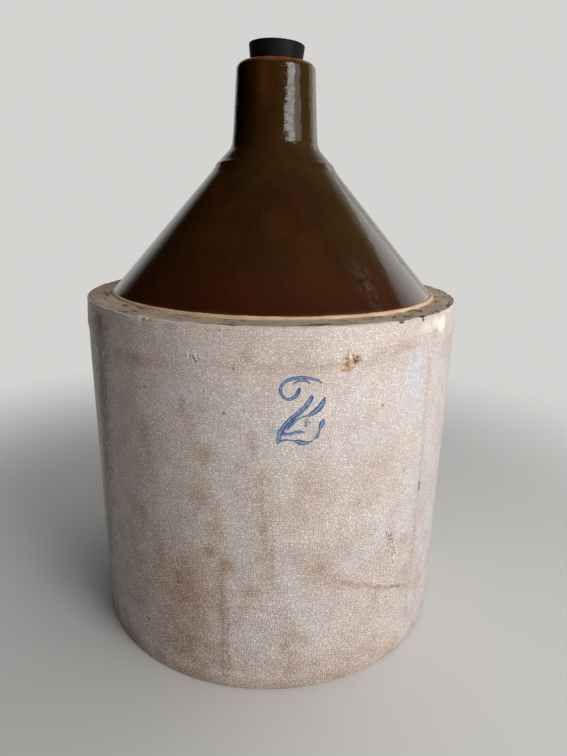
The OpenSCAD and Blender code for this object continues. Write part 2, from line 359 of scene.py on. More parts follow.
class Nodes:
    """Adds nodes to a material's or a group's tree and links them. A value given for a socket is
    set on it, and an output socket given for it is linked to it."""

    def __init__(self, tree):
        self.tree = tree

    def feed(self, socket, value):
        if isinstance(value, bpy.types.NodeSocket):
            self.tree.links.new(value, socket)
        else:
            socket.default_value = value

    def fill(self, sockets, values):
        for name, value in values.items():
            self.feed(sockets[name], value)

    def add(self, kind, values={}, **settings):
        node = self.tree.nodes.new("ShaderNode" + kind)
        for name, value in settings.items():
            setattr(node, name, value)
        self.fill(node.inputs, values)
        return node

    def group(self, tree, **values):
        placed = self.add("Group", node_tree=tree)
        self.fill(placed.inputs, values)
        return placed.outputs

    def calc(self, operation, first, second=0.5, clamp=False):
        numbers = {0: first, 1: second}
        return self.add("Math", numbers, operation=operation, use_clamp=clamp).outputs[0]

    def times(self, first, second, clamp=False):
        return self.calc("MULTIPLY", first, second, clamp)

    def plus(self, first, second):
        return self.calc("ADD", first, second)

    def minus(self, first, second, clamp=False):
        return self.calc("SUBTRACT", first, second, clamp)

    def larger(self, first, second, clamp=False):
        return self.calc("MAXIMUM", first, second, clamp)

    def strongest(self, masks):
        """The largest of several masks, each times its strength."""
        total = 0
        for mask, strength in masks:
            total = self.larger(self.times(mask, strength), total)
        return total

    def vector(self, operation, first, second=(0, 0, 0), out="Vector"):
        return self.add("VectorMath", {0: first, 1: second}, operation=operation).outputs[out]

    def axes(self, place):
        return self.add("SeparateXYZ", {0: place}).outputs

    def join(self, x, y, z=0):
        return self.add("CombineXYZ", {0: x, 1: y, 2: z}).outputs[0]

    def remap(self, value, low, high, to_low=0, to_high=1):
        ends = {"Value": value, "From Min": low, "From Max": high, "To Min": to_low, "To Max": to_high}
        return self.add("MapRange", ends, interpolation_type="SMOOTHSTEP").outputs["Result"]

    def mix(self, share, first, second):
        return self.add("Mix", {"Factor": share, "A": first, "B": second}).outputs["Result"]

    def blend(self, share, under, over, how="MIX"):
        ends = {"Factor": share, "A": rgba(under), "B": rgba(over)}
        return self.add("Mix", ends, data_type="RGBA", blend_type=how).outputs["Result"]

    def coats(self, base, *layers):
        """Colours laid over a base one after the other, each with its mask and its strength."""
        for mask, strength, colour in layers:
            base = self.blend(self.times(mask, strength), base, colour)
        return base

    def noise(self, where, scale, detail=3, roughness=0.55, stretch=None):
        if stretch:
            where = self.add("Mapping", {"Vector": where, "Scale": stretch}).outputs["Vector"]
        grain = {"Vector": where, "Scale": scale, "Detail": detail, "Roughness": roughness}
        return self.add("TexNoise", grain).outputs["Fac"]

    def jittered(self, place, where, scale, amount):
        """A place moved to and fro by a coloured noise, which is taken as a step of up to half the
        amount along each axis."""
        grain = {"Vector": where, "Scale": scale, "Detail": 3}
        shift = self.add("TexNoise", grain).outputs["Color"]
        centred = self.vector("SUBTRACT", shift, (0.5, 0.5, 0.5))
        return self.vector("ADD", place, self.vector("MULTIPLY", centred, (amount, amount, amount)))

    def mask(self, name):
        return self.add("Attribute", attribute_name=name).outputs["Fac"]


def rgba(colour):
    """A colour as four numbers, or a socket as it is."""
    return colour if isinstance(colour, bpy.types.NodeSocket) else (*colour, 1)


def new_group(name, inputs, outputs):
    """A shader node group. Inputs map a name to its usual value, or to None for a vector, and
    outputs map a name to its kind. It returns the group, its node tools, and both its ends."""
    tree = bpy.data.node_groups.new(name, "ShaderNodeTree")
    for label, value in inputs.items():
        kind = "NodeSocketVector" if value is None else "NodeSocketFloat"
        socket = tree.interface.new_socket(label, in_out="INPUT", socket_type=kind)
        if value is not None:
            socket.default_value = value
    for label, kind in outputs.items():
        tree.interface.new_socket(label, in_out="OUTPUT", socket_type="NodeSocket" + kind)
    nodes = Nodes(tree)
    ends = [tree.nodes.new("NodeGroup" + end) for end in ("Input", "Output")]
    return tree, nodes, ends[0].outputs, ends[1].inputs


# The wall laid flat: how far round the pot from the front, how high, and how far from the axis.
laid_flat, build, given, result = new_group("laid_flat", {"Vector": None}, {"Vector": "Vector"})
x, y, z = build.axes(given["Vector"])
from_front = build.calc("ARCTAN2", x, build.times(y, -1))
from_axis = build.calc("SQRT", build.plus(build.times(x, x), build.times(y, y)))
build.feed(result["Vector"], build.join(build.times(from_front, wall_radius), z, from_axis))

# The crazing: a net of fine cracks about 1.3 mm apart, worked out on the wall laid flat and going
# on over the rim. Dirt has gone into the cracks, and the glaze between them stands up in islands.
crack_spacing = 0.0013
crack_width = 0.2
crazing, build, given, result = new_group(
    "crazing", {"Vector": None, "Spacing": crack_spacing, "Width": crack_width},
    {"Crack": "Float", "Island": "Float", "Height": "Float"},
)
where = given["Vector"]
around, upward, outward = build.axes(build.group(laid_flat, Vector=where)["Vector"])
net_place = build.jittered(build.join(around, build.minus(upward, outward)), where, 330, 0.0012)
density = build.calc("DIVIDE", 1, given["Spacing"])


def flat_cells(scale, randomness, feature):
    """The outputs of a pattern of cells on the net's plane."""
    cells = {"Vector": net_place, "Scale": scale, "Randomness": randomness}
    return build.add("TexVoronoi", cells, feature=feature, voronoi_dimensions="2D").outputs


edge = flat_cells(density, 0.95, "DISTANCE_TO_EDGE")["Distance"]
cell = flat_cells(density, 0.95, "F1")["Color"]
long_edge = flat_cells(build.times(density, 0.48), 1, "DISTANCE_TO_EDGE")["Distance"]
patchy = build.remap(build.noise(where, 90, 2), 0.35, 0.65, 0.75, 1.25)
fine_crack = build.remap(edge, 0, build.times(given["Width"], patchy), 1, 0)
crack = build.larger(fine_crack, build.remap(long_edge, 0, 0.09, 0.85, 0))
shade = build.add("SeparateColor", {0: cell}).outputs["Red"]
build.fill(result, {"Crack": crack, "Island": shade, "Height": build.minus(1, crack)})

# Pinholes: dark points that a bubble or a grain of iron left in the glaze as it boiled.
pinholes, build, given, result = new_group(
    "pinholes", {"Vector": None, "Spacing": 0.008, "Share": 0.35}, {"Mask": "Float"}
)
scale = build.calc("DIVIDE", 1, given["Spacing"])
near = build.add("TexVoronoi", {"Vector": given["Vector"], "Scale": scale}).outputs
chance = build.add("SeparateColor", {0: near["Color"]}).outputs
close = build.calc("LESS_THAN", near["Distance"], build.times(chance["Green"], 0.05))
build.feed(result["Mask"], build.times(close, build.calc("LESS_THAN", chance["Red"], given["Share"])))

# Bare stoneware: grey tan and sandy, darker where hands and soot have reached it, with black
# specks of dirt in its scratches, and smeared with slip near the cone.
bare_ware, build, given, result = new_group(
    "bare_ware", {"Vector": None}, {"Color": "Color", "Roughness": "Float", "Height": "Float"}
)
where = given["Vector"]
grain = build.noise(where, 900, 3, 0.7)
patchy = build.noise(where, 45, 4, 0.6)
soot = build.remap(build.noise(where, 170, 5, 0.7), 0.57, 0.7)
flat_place = build.group(laid_flat, Vector=where)["Vector"]
combed = build.noise(flat_place, 1, 4, 0.65, stretch=(90, 400, 330))
scratched = build.times(build.remap(combed, 0.56, 0.62), build.remap(patchy, 0.38, 0.5))
smear_reach = build.plus(build.axes(flat_place)["Z"], build.times(patchy, 0.004))
clay = build.coats(
    build.blend(build.remap(patchy, 0.35, 0.65), (0.55, 0.405, 0.295), (0.4, 0.3, 0.22)),
    (build.remap(grain, 0.35, 0.7), 0.45, (0.52, 0.4, 0.3)),
    (build.remap(smear_reach, 0.1025, 0.1065, 1, 0), 0.65, (0.56, 0.41, 0.28)),
    (soot, 0.75, (0.06, 0.047, 0.036)),
    (scratched, 0.85, (0.035, 0.028, 0.022)),
)
build.fill(result, {
    "Color": clay, "Roughness": build.remap(patchy, 0.3, 0.7, 0.6, 0.85),
    "Height": build.plus(build.times(grain, 0.4), patchy),
})

# A seam: a thin dark line along the wall, such as a stained hairline or the tide line of a damp
# patch. It runs from a start point, sags by some distance at its middle, and trembles a little.
seam, build, given, result = new_group(
    "seam",
    {
        "Vector": None, "Start": None, "Along": None, "Side": None, "Length": 0.05, "Sag": 0,
        "Width": 0.0005, "Tremble": 0.006,
    },
    {"Mask": "Float"},
)
where = given["Vector"]
flat_place = build.vector("MULTIPLY", build.group(laid_flat, Vector=where)["Vector"], (1, 1, 0))
step = build.vector("SUBTRACT", flat_place, given["Start"])
forward = build.vector("DOT_PRODUCT", step, given["Along"], "Value")
sideways = build.vector("DOT_PRODUCT", step, given["Side"], "Value")
share = build.calc("DIVIDE", forward, given["Length"])
bow = build.times(build.times(share, build.minus(1, share)), build.times(given["Sag"], 4))
tremble = build.times(build.minus(build.noise(where, 120, 4, 0.6), 0.5), given["Tremble"])
off = build.calc("ABSOLUTE", build.plus(build.plus(sideways, bow), tremble))
breadth = build.times(given["Width"], build.remap(build.noise(where, 260, 2), 0.35, 0.65, 0.3, 1.3))
on_line = build.minus(1, build.calc("DIVIDE", off, breadth), clamp=True)
ends = build.times(build.remap(share, 0, 0.05), build.remap(share, 0.95, 1, 1, 0))
build.feed(result["Mask"], build.times(on_line, ends))


def seam_between(nodes, where, at, level, to, end_level, sag, width, tremble):
    """The mask of a seam on the wall, from an azimuth in degrees and a height to another azimuth
    and height. Heights, sag, width and tremble are in millimetres."""
    begin = np.array([math.radians(at) * wall_radius, level * mm, 0])
    reach = np.array([math.radians(to) * wall_radius, end_level * mm, 0]) - begin
    length = float(np.linalg.norm(reach))
    along = reach / length
    return nodes.group(
        seam, Vector=where, Start=begin, Along=along, Side=(-along[1], along[0], 0), Length=length,
        Sag=sag * mm, Width=width * mm, Tremble=tremble * mm,
    )["Mask"]


def seams(nodes, where, rows):
    """The strongest of several seams. A row is the numbers of seam_between and then a strength."""
    return nodes.strongest([(seam_between(nodes, where, *row[:-1]), row[-1]) for row in rows])


# A dab: a small soft-edged oval on the wall, finer than the mesh can carry, with a ragged outline.
dab, build, given, result = new_group(
    "dab", {"Flat": None, "Place": None, "Across": None}, {"Mask": "Float"}
)
step = build.vector("SUBTRACT", given["Flat"], given["Place"])
far = build.vector("LENGTH", build.vector("MULTIPLY", step, given["Across"]), out="Value")
build.feed(result["Mask"], build.remap(far, 0.55, 1.35, 1, 0))


def dabs(nodes, flat, places):
    """The strongest of several dabs. Their places are given as those of spots."""
    masks = []
    for at, level, half_width, half_height, strength in places:
        place = (math.radians(at) * wall_radius, level * mm, 0)
        across = (1 / (half_width * mm), 1 / (half_height * mm), 0)
        masks.append((nodes.group(dab, Flat=flat, Place=place, Across=across)["Mask"], strength))
    return nodes.strongest(masks)


def new_material(name, specular=0.5):
    """A material with one Principled shader, its node tools, and the piece's Object coordinates."""
    material = bpy.data.materials.new(name)
    material.use_nodes = True
    nodes = Nodes(material.node_tree)
    shader = material.node_tree.nodes["Principled BSDF"]
    shader.inputs["Specular IOR Level"].default_value = specular
    return material, nodes, shader, nodes.add("TexCoord").outputs["Object"]


def surface(nodes, shader, colour, roughness, height, depth, strength):
    """Gives a shader its colour, its roughness, and a normal from a height between 0 and 1 that
    stands for a depth in metres."""
    bumps = {"Height": height, "Distance": depth, "Strength": strength}
    normal = nodes.add("Bump", bumps).outputs["Normal"]
    nodes.fill(shader.inputs, {"Base Color": colour, "Roughness": roughness, "Normal": normal})


cream = (0.8, 0.75, 0.715)
blush = (0.785, 0.68, 0.625)
milk_and_reflection_blue = (0.64, 0.7, 0.78)
crack_grey = (0.2, 0.135, 0.112)
crack_brown = (0.215, 0.105, 0.06)
stain_and_shade_brown = (0.53, 0.36, 0.25)
rust_gold = (0.56, 0.36, 0.125)
rust_orange = (0.34, 0.15, 0.036)
rust_dark = (0.045, 0.026, 0.015)
speck_black = (0.05, 0.04, 0.035)

white_glaze, nodes, shader, where = new_material("white_glaze", 0.32)
net = nodes.group(crazing, Vector=where, Spacing=crack_spacing, Width=crack_width)
holes = nodes.group(pinholes, Vector=where, Spacing=0.011, Share=0.5)["Mask"]
right, _, level = nodes.axes(where)
cloud = nodes.noise(where, 22, 4, 0.6, stretch=(1, 1, 0.6))
fray = nodes.remap(nodes.noise(where, 160, 4, 0.7), 0.3, 0.62)
# Milky blue: partly milky glaze, partly a painted bluish reflection on the right and below the band
milky_and_reflected = nodes.remap(nodes.noise(where, 14, 3, stretch=(1, 1, 0.45)), 0.5, 0.72, 0, 0.5)
milky_and_reflected = nodes.times(milky_and_reflected, nodes.remap(level, 0.165, 0.2, 1, 0.15))
milky_and_reflected = nodes.larger(milky_and_reflected, nodes.times(nodes.mask("milk_and_reflection"), nodes.remap(cloud, 0.3, 0.6, 0.5, 1)))
# The stain mask is partly painted shade, on the far left and under the band
stained = nodes.times(nodes.mask("stain_and_shade"), nodes.plus(nodes.times(fray, 0.65), 0.45))
blotch = nodes.remap(nodes.noise(where, 58, 5, 0.65, stretch=(1, 1, 0.7)), 0.46, 0.72)
blotch = nodes.times(blotch, nodes.remap(level, 0.02, 0.16, 0.7, 0.28))
foot_stain = nodes.times(nodes.remap(cloud, 0.35, 0.6, 0.5, 1), nodes.remap(right, 0, 0.06, 1, 0.5))
foot_stain = nodes.times(foot_stain, nodes.remap(level, 0.003, 0.016, 0.9, 0))
# Old damp has left soft brown lines: a tide line that falls to the right, its end, a trail beside
# a run of glaze on the right, one left of the middle, and one down the run low on the left
soaked = seams(nodes, where, [
    (9, 71.8, 42, 41.8, 0.4, 3.2, 4, 0.9), (41, 42.4, 60, 39, 1.6, 3.4, 3, 0.9),
    (39.5, 194, 40.2, 20, -1.8, 5, 4, 0.55), (-9.8, 142, -7.6, 73, 0.8, 7.5, 6, 0.85),
    (-20, 88, -19.4, 10, 0.4, 7.2, 6, 0.85),
])
soaked = nodes.times(soaked, nodes.remap(fray, 0, 1, 0.5, 1))
stained = nodes.larger(nodes.larger(stained, blotch), nodes.larger(foot_stain, soaked), clamp=True)
rosy = nodes.larger(nodes.remap(cloud, 0.35, 0.65), nodes.remap(level, 0.15, 0.195))
glazed = nodes.coats(
    nodes.blend(rosy, cream, blush), (milky_and_reflected, 0.75, milk_and_reflection_blue), (stained, 0.8, stain_and_shade_brown)
)
island = nodes.remap(net["Island"], 0, 1, 0.88, 1.05)
island_grey = nodes.add("CombineColor", {0: island, 1: island, 2: island}).outputs[0]
glazed = nodes.blend(1, glazed, island_grey, "MULTIPLY")
# The cracks show most in the stains, down the left side and low on the wall
crack_share = net["Crack"]
for value, *ends in (
    (stained, 0, 0.8, 0.82, 1), (milky_and_reflected, 0, 1, 1, 0.6), (right, -0.1, -0.03, 1.35, 1),
    (level, 0.03, 0.2, 1.08, 0.72),
):
    crack_share = nodes.times(crack_share, nodes.remap(value, *ends))
# The rust flowers, right of the numeral and over it: golden and orange where the iron has bled
# into the glaze, dark where its grains still sit, with the glaze chipped pale between them
flat_place = nodes.jittered(nodes.group(laid_flat, Vector=where)["Vector"], where, 900, 0.0022)
rusty = dabs(nodes, flat_place, [
    (10.4, 195.9, 1.6, 1.5, 0.9), (10.8, 198.6, 0.5, 2.1, 0.7), (10.8, 192.4, 1.8, 2, 1),
    (10.5, 189.6, 2.7, 0.9, 0.9), (11.9, 190.8, 2.3, 0.8, 0.8), (13.5, 195, 1.8, 2.2, 0.85),
    (12.9, 193.6, 1.7, 1.6, 0.95), (9.6, 195, 0.7, 0.7, 0.6),
])
grains = dabs(nodes, flat_place, [
    (10.7, 195.3, 0.5, 0.5, 0.9), (10.85, 191.9, 0.8, 0.9, 0.55), (12.45, 195.1, 0.6, 0.7, 1),
    (13, 193.8, 1, 0.9, 1), (13.3, 196, 0.6, 0.7, 0.8), (11.97, 196.8, 0.8, 0.4, 0.9),
    (11.5, 194.3, 0.4, 0.9, 0.7),
])
chipped = dabs(nodes, flat_place, [
    (11.55, 196.6, 0.9, 0.8, 0.8), (12.4, 193.7, 0.6, 0.7, 0.8), (11.3, 193.5, 0.5, 0.7, 0.6),
])
crumbs = nodes.noise(where, 760, 3, 0.65)
rust_colour = nodes.blend(nodes.remap(crumbs, 0.4, 0.6), rust_orange, rust_gold)
# A sprinkle of black specks, lower right
specks = [
    (27.1, 90.5), (27.9, 88.5), (28.9, 88.2), (28.2, 86.2), (29.3, 85.6), (28.6, 83.6), (29.7, 83),
    (29.1, 80), (30.4, 79), (28.4, 78.2), (30.9, 76.5), (31.3, 74.8), (30.1, 74.2), (30.8, 69),
]
specked = dabs(nodes, flat_place, [(at, level_mm, 0.5, 0.7, 0.85) for at, level_mm in specks])
# Thin dark lines: a scratch, the end and the side of the run, and the core of the tide line
broken = nodes.remap(nodes.noise(where, 620, 2, 0.6), 0.46, 0.54)
thin_lines = seams(nodes, where, [
    (6.2, 193, 15.5, 193.5, -0.6, 0.6, 6, 0.45), (-20.9, 12.5, -18, 12.5, 3.6, 1, 6, 0.85),
    (-18.3, 60, -18.2, 11.5, 0.4, 0.6, 6, 0.5), (30, 53.3, 38.5, 45.6, 0.4, 1.1, 4, broken),
])
# Painted shade down the left side, and a painted highlight on the band, far right
painted_left_shade = nodes.remap(seam_between(nodes, where, -61.5, 212, -70.5, 45, 0, 17, 2), 0, 1)
# A painted highlight: the band's glaze made pale where the light catches it
painted_band_highlight = dabs(nodes, flat_place, [
    (45.3, 205, 6, 4.6, 0.85), (41.5, 206.6, 4, 2.8, 0.6), (37.5, 205.6, 7.5, 3.4, 0.35),
])
speckled = nodes.plus(nodes.times(net["Crack"], 0.25), nodes.noise(where, 1500, 2, 0.6))
sprinkle = nodes.remap(nodes.times(nodes.mask("soot"), speckled), 0.5, 0.58)
glazed = nodes.coats(
    glazed,
    (crack_share, 1, nodes.blend(stained, crack_grey, crack_brown)),
    (chipped, 1, (0.84, 0.79, 0.77)),
    (rusty, nodes.remap(crumbs, 0.3, 0.5, 0.7, 1), rust_colour),
    (grains, 1, rust_dark),
    (specked, 1, speck_black),
    (thin_lines, 1, (0.1, 0.065, 0.042)),
    # painted shade down the left side, which is turned from the light
    (painted_left_shade, 0.8, (0.085, 0.07, 0.054)),
    # painted highlight on the band, far right
    (painted_band_highlight, nodes.remap(fray, 0.1, 0.8, 0.45, 1), (0.97, 0.92, 0.8)),
    (sprinkle, 0.85, speck_black),
)
# Single flecks of iron, and pale strokes that are painted glints: azimuth, height, how far they
# run right and down, and width
iron_flecks = [
    (1.7, 166.2, -0.5, 1.1, 1.1), (1.3, 164.8, -1.4, 1, 1.2), (0.8, 163.4, 0.7, 1.5, 1.3),
    (2.1, 164.1, -1, 0.3, 0.8), (-19.2, 169, 0.9, 1.5, 1.6), (-41.8, 176, 0.3, 1.8, 1),
    (-60.1, 196.5, 1, 1.8, 1.4), (-20, 209.6, 0.4, 1.2, 0.9), (28.8, 47.6, 0.6, 1.4, 1.1),
    (40.9, 113.5, 0.4, 6, 1.1), (33, 129, -2, 3, 0.8), (21.9, 169.6, 0.6, 1.6, 0.9),
    (-52.5, 196, 0.6, 1.4, 0.9), (-33.5, 65, 1.4, 1.4, 1), (-46, 30, 1.4, 2, 1.2),
    (-27.5, 196, 0.7, 2.4, 0.8), (-26.5, 196, 0.9, 2.2, 0.7), (-25.4, 196, 0.9, 2, 0.8),
    (-25.9, 193.8, 0.6, 1.2, 0.9), (-16.6, 191.8, 0.4, 1.2, 1), (-24, 179, 0.4, 1.2, 0.9),
]
painted_glints = [(-27.9, 197.5, 0.4, 3.4, 1), (-26, 197.5, 1, 2.6, 1), (-25, 197.5, 1, 2.6, 1)]
iron_brown, glint_white = (0.085, 0.048, 0.028), (0.93, 0.9, 0.86)
for rows, strength, colour in ((iron_flecks, 0.9, iron_brown), (painted_glints, 0.8, glint_white)):
    for at, top, across, down, width in rows:
        to = at + math.degrees(across * mm / wall_radius)
        fleck = seam_between(nodes, where, at, top, to, top - down, 0.2, width, 2)
        glazed = nodes.coats(glazed, (fleck, strength, colour))
nicked = nodes.remap(nodes.times(nodes.mask("nick"), nodes.noise(where, 380, 4, 0.75)), 0.3, 0.36)
grimy = nodes.remap(nodes.times(nodes.mask("grime"), nodes.noise(where, 800, 4, 0.8)), 0.38, 0.43)
ware = nodes.group(bare_ware, Vector=where)
unglazed = nodes.mask("bare")
# Along the glaze's edge on the ledge: pale on the left, a painted highlight, and dark on the right
border = nodes.times(nodes.times(unglazed, nodes.minus(1, unglazed)), 4, clamp=True)
rim_highlight_and_dark_edge = nodes.blend(nodes.remap(right, 0.03, 0.075), (0.93, 0.87, 0.8), (0.055, 0.045, 0.036))
skin_colour = nodes.coats(
    glazed,
    (holes, 0.85, (0.07, 0.05, 0.04)),
    (nicked, 1, (0.1, 0.085, 0.07)),
    (nodes.mask("blue"), 0.9, (0.2, 0.29, 0.47)),
    (unglazed, 1, ware["Color"]),
    (border, 0.85, rim_highlight_and_dark_edge),
    (grimy, 0.95, (0.025, 0.02, 0.016)),
)
shine = nodes.remap(nodes.noise(where, 35, 4, 0.6), 0.3, 0.7, 0.27, 0.4)
shine = nodes.minus(shine, nodes.times(nodes.mask("gloss"), 0.19))
shine = nodes.plus(shine, nodes.times(net["Crack"], 0.12))
shine = nodes.plus(shine, nodes.times(nodes.larger(nicked, rusty), 0.5))
shine = nodes.mix(unglazed, shine, ware["Roughness"])
height = nodes.plus(nodes.times(net["Height"], 0.5), nodes.times(nodes.noise(where, 420, 2, 0.5), 0.9))
height = nodes.minus(height, nodes.times(holes, 1.5))
height = nodes.mix(unglazed, height, nodes.times(ware["Height"], 4))
surface(nodes, shader, skin_colour, shine, height, 0.00005, 0.8)

bare_clay, nodes, shader, where = new_material("bare_clay", 0.3)
ware = nodes.group(bare_ware, Vector=where)
surface(nodes, shader, ware["Color"], ware["Roughness"], ware["Height"], 0.0002, 0.7)

crock.data.materials.append(white_glaze)
crock.data.materials.append(bare_clay)
ring_of_face = np.repeat(np.arange(1, len(crock_outline) - 2), crock_sides)
is_bare = (ring_of_face < wall_from) | (ring_of_face >= seat_from)
kinds = np.concatenate([is_bare, np.ones(2 * crock_sides)]).astype(np.int32)
crock.data.polygons.foreach_set("material_index", kinds)

# The capacity mark
# A numeral brushed in cobalt on the raw glaze: the 2 of two gallons. Each stroke is a thin
# film on the wall, thick and dark along its edges and thin in the middle.
mark_level = 0.1695
mark_lift = 0.00006
stroke_steps = 46
stroke_sides = 12
# Each stroke's points: how far right of the front, how far above the mark's middle, and half the width
hook = [
    (-1.9, 12.7, 0.5), (-2.1, 11.2, 1.05), (-3.3, 8.7, 0.95), (-5.8, 7, 0.8), (-8.4, 7.2, 0.7),
    (-10.4, 9.4, 0.7), (-10.9, 12, 0.8), (-9.8, 14.6, 0.8), (-7.2, 16.6, 0.8), (-3.3, 17.5, 0.85),
    (1.6, 17.5, 0.8), (5.5, 16.6, 0.7), (7.7, 15.6, 0.6), (9.1, 14.4, 0.2),
]
hook_shade = [
    (-5.2, 14.2, 0.15), (-3.3, 15.6, 0.5), (-0.9, 16.1, 0.6), (1.6, 15.8, 0.6), (3.5, 14.3, 0.2),
]
stem = [
    (4.4, 8.9, 0.2), (3.9, 7.1, 0.9), (1.6, 3.6, 0.95), (-2.3, -0.3, 0.95), (-6.2, -3.6, 0.95),
    (-8.9, -7, 1), (-10.9, -10.8, 1), (-11.7, -14.4, 0.8), (-11.9, -16.2, 0.5),
]
stem_shade = [
    (5.2, 7.9, 0.15), (4.5, 6.1, 0.45), (2.1, 2.3, 0.5), (-1.9, -1.5, 0.5), (-5.3, -4.6, 0.5),
    (-7.7, -7.5, 0.5), (-9.7, -10.3, 0.4),
]
leaf = [
    (10.8, 7.5, 0.2), (10.2, 5.1, 1.2), (8.4, 2.1, 1.45), (6, 0, 1.35), (3.5, -1.5, 0.9),
    (1.6, -2, 0.35), (-0.6, -2.7, 0.35), (-3.1, -4.2, 0.7), (-5.5, -6.5, 0.75), (-7.3, -8.9, 0.3),
]
heel = [(-11.2, -8.8, 0.6), (-11, -11.1, 1.3), (-11.3, -13.6, 1), (-11.8, -15.9, 0.6)]
heel_shade = [
    (-10.6, -10.4, 0.9), (-6.7, -11.2, 0.7), (-3.3, -10.2, 0.65), (-1.4, -10.1, 0.85),
    (1.5, -10.4, 0.2),
]
foot_stroke = [
    (-11.9, -16.2, 0.5), (-10, -14.6, 0.6), (-7.2, -14.2, 0.4), (-4.3, -14.6, 0.4), (-1.8, -15.3, 1.2),
    (0.6, -16, 1.25), (3.5, -15.9, 0.7), (5.7, -15, 0.3),
]
foot_rise = [
    (6, -14.4, 0.2), (7.5, -13, 0.95), (8.6, -10.7, 0.55), (8.9, -9.3, 0.6), (9.8, -6.7, 1.35),
    (10.4, -4.9, 1), (10.1, -4, 0.3),
]
all_strokes = [hook, hook_shade, stem, stem_shade, leaf, heel, heel_shade, foot_stroke, foot_rise]


def smooth_through(points, count):
    """A smooth line through all the points: between two of them it is the cubic whose slope at
    each is half the step from the point before it to the point after it."""
    points = np.array(points, float)
    ends = np.concatenate([2 * points[:1] - points[1:2], points, 2 * points[-1:] - points[-2:-1]])
    at = np.linspace(0, len(points) - 1, count)
    span = np.minimum(at.astype(int), len(points) - 2)
    t = (at - span)[:, None]
    before, start, end, after = (ends[span + step] for step in range(4))
    slope_in, slope_out = (end - before) / 2, (after - start) / 2
    return (
        (2 * t**3 - 3 * t**2 + 1) * start + (t**3 - 2 * t**2 + t) * slope_in
        + (3 * t**2 - 2 * t**3) * end + (t**3 - t**2) * slope_out
    )


def tube_faces(rows, sides, first=0):
    """Corner numbers of a closed tube of rings: its quads, and one many-sided cap at each end."""
    low = first + np.arange(rows - 1)[:, None] * sides
    start_cap = first + np.arange(sides)[None, ::-1]
    end_cap = first + (rows - 1) * sides + np.arange(sides)[None, :]
    return [quads_between(low, low + sides, sides), start_cap, end_cap]


def brush_stroke(points):
    """A flat lens carried along the stroke and wrapped round the wall. A point of the lens is the
    half width times cos b to the side and the film's thickness times sin b out of the wall."""
    path = smooth_through(points, stroke_steps) * mm
    along = np.gradient(path[:, :2], axis=0)
    along /= np.linalg.norm(along, axis=1)[:, None]
    b = math.tau * np.arange(stroke_sides)[None, :] / stroke_sides
    half = np.maximum(path[:, 2:], 0.0001)
    azimuth = (path[:, :1] + half * np.cos(b) * along[:, 1:]) / wall_radius
    level = mark_level + path[:, 1:2] - half * np.cos(b) * along[:, :1]
    r = wall_radius + crock_relief(azimuth, wall_radius + 0 * azimuth, level) + mark_lift * np.sin(b)
    share = np.linspace(0, 1, stroke_steps)[:, None]
    ends = 0.75 * hill(share, 0.09) + 0.5 * hill(1 - share, 0.06)
    edge = np.maximum(np.abs(np.cos(b)), np.maximum(ends, 1 - half / 0.0006)).clip(0, 1)
    return np.stack([r * np.sin(azimuth), -r * np.cos(azimuth), level], 2), edge


strokes = [brush_stroke(points) for points in all_strokes]
firsts = range(0, len(strokes) * stroke_steps * stroke_sides, stroke_steps * stroke_sides)
mark_faces = [part for first in firsts for part in tube_faces(stroke_steps, stroke_sides, first)]
mark = put_in_scene("capacity_mark", np.concatenate([places for places, _ in strokes]), mark_faces)
keep_mask(mark, "edge", np.concatenate([edge for _, edge in strokes]))
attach(mark, "jug")

cobalt, nodes, shader, where = new_material("cobalt_brushwork")
net = nodes.group(crazing, Vector=where, Spacing=crack_spacing, Width=crack_width)
uneven = nodes.times(nodes.noise(where, 260, 3, 0.6), 0.5)
pooled = nodes.remap(nodes.plus(nodes.mask("edge"), uneven), 0.36, 0.8)
dry = nodes.noise(where, 520, 3, 0.6)
blue = nodes.coats(
    nodes.blend(pooled, (0.235, 0.375, 0.6), (0.028, 0.072, 0.205)),
    (nodes.remap(dry, 0.5, 0.74), 0.5, (0.5, 0.55, 0.66)),
    (net["Crack"], 0.4, (0.07, 0.065, 0.1)),
)
surface(nodes, shader, blue, nodes.remap(dry, 0.3, 0.7, 0.16, 0.3), net["Height"], 0.00003, 0.7)
mark.data.materials.append(cobalt)

# The slip fillet
# A roll of bare slip, smoothed by finger into the corner between the ledge and the cone to
# seal the joint. It fired to a warm tan, and dirt has settled in its dents.
slip_sides = 420
slip_inner = cone_foot_radius - 0.0004
slip_outer = cone_foot_radius + slip_width
slip_crown = cone_foot_radius + 0.0002
slip_low = crock_height - 0.0006
slip_top = crock_height + slip_height
slip_outline = outline_of(
    ((slip_inner, slip_low), 3), ((slip_outer, slip_low), 1),
    arc((slip_crown, crock_height), slip_height, 12, 82, 6),
    ((slip_crown, slip_top), 2), ((slip_inner, slip_top - 0.0003), 2),
)


def slip_relief(azimuth, radius, height):
    """Finger marks: slow and quick waves round the jug, on the outside of the roll only."""
    slow, quick = ripple(azimuth, height, 11, 40, 20), ripple(azimuth, height, 12, 190, 60)
    return (radius > cone_foot_radius) * (0.00016 * slow + 0.00009 * quick)


slip = turned("slip_roll", slip_outline, slip_sides, slip_relief, ring=True)
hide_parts("slip_fillet")
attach(slip, "jug")

tan_slip, nodes, shader, where = new_material("tan_slip", 0.3)
patchy = nodes.noise(where, 70, 4, 0.6)
speckle = nodes.noise(where, 700, 3, 0.7)
dirt = nodes.remap(nodes.noise(where, 240, 4, 0.7), 0.6, 0.72)
tan = nodes.coats(
    nodes.blend(nodes.remap(patchy, 0.35, 0.65), (0.79, 0.545, 0.36), (0.65, 0.44, 0.28)),
    (nodes.remap(speckle, 0.4, 0.7), 0.4, (0.62, 0.47, 0.32)),
    (dirt, 0.8, (0.06, 0.04, 0.025)),
)
surface(nodes, shader, tan, nodes.remap(patchy, 0.3, 0.7, 0.55, 0.8), speckle, 0.0002, 0.7)
slip.data.materials.append(tan_slip)

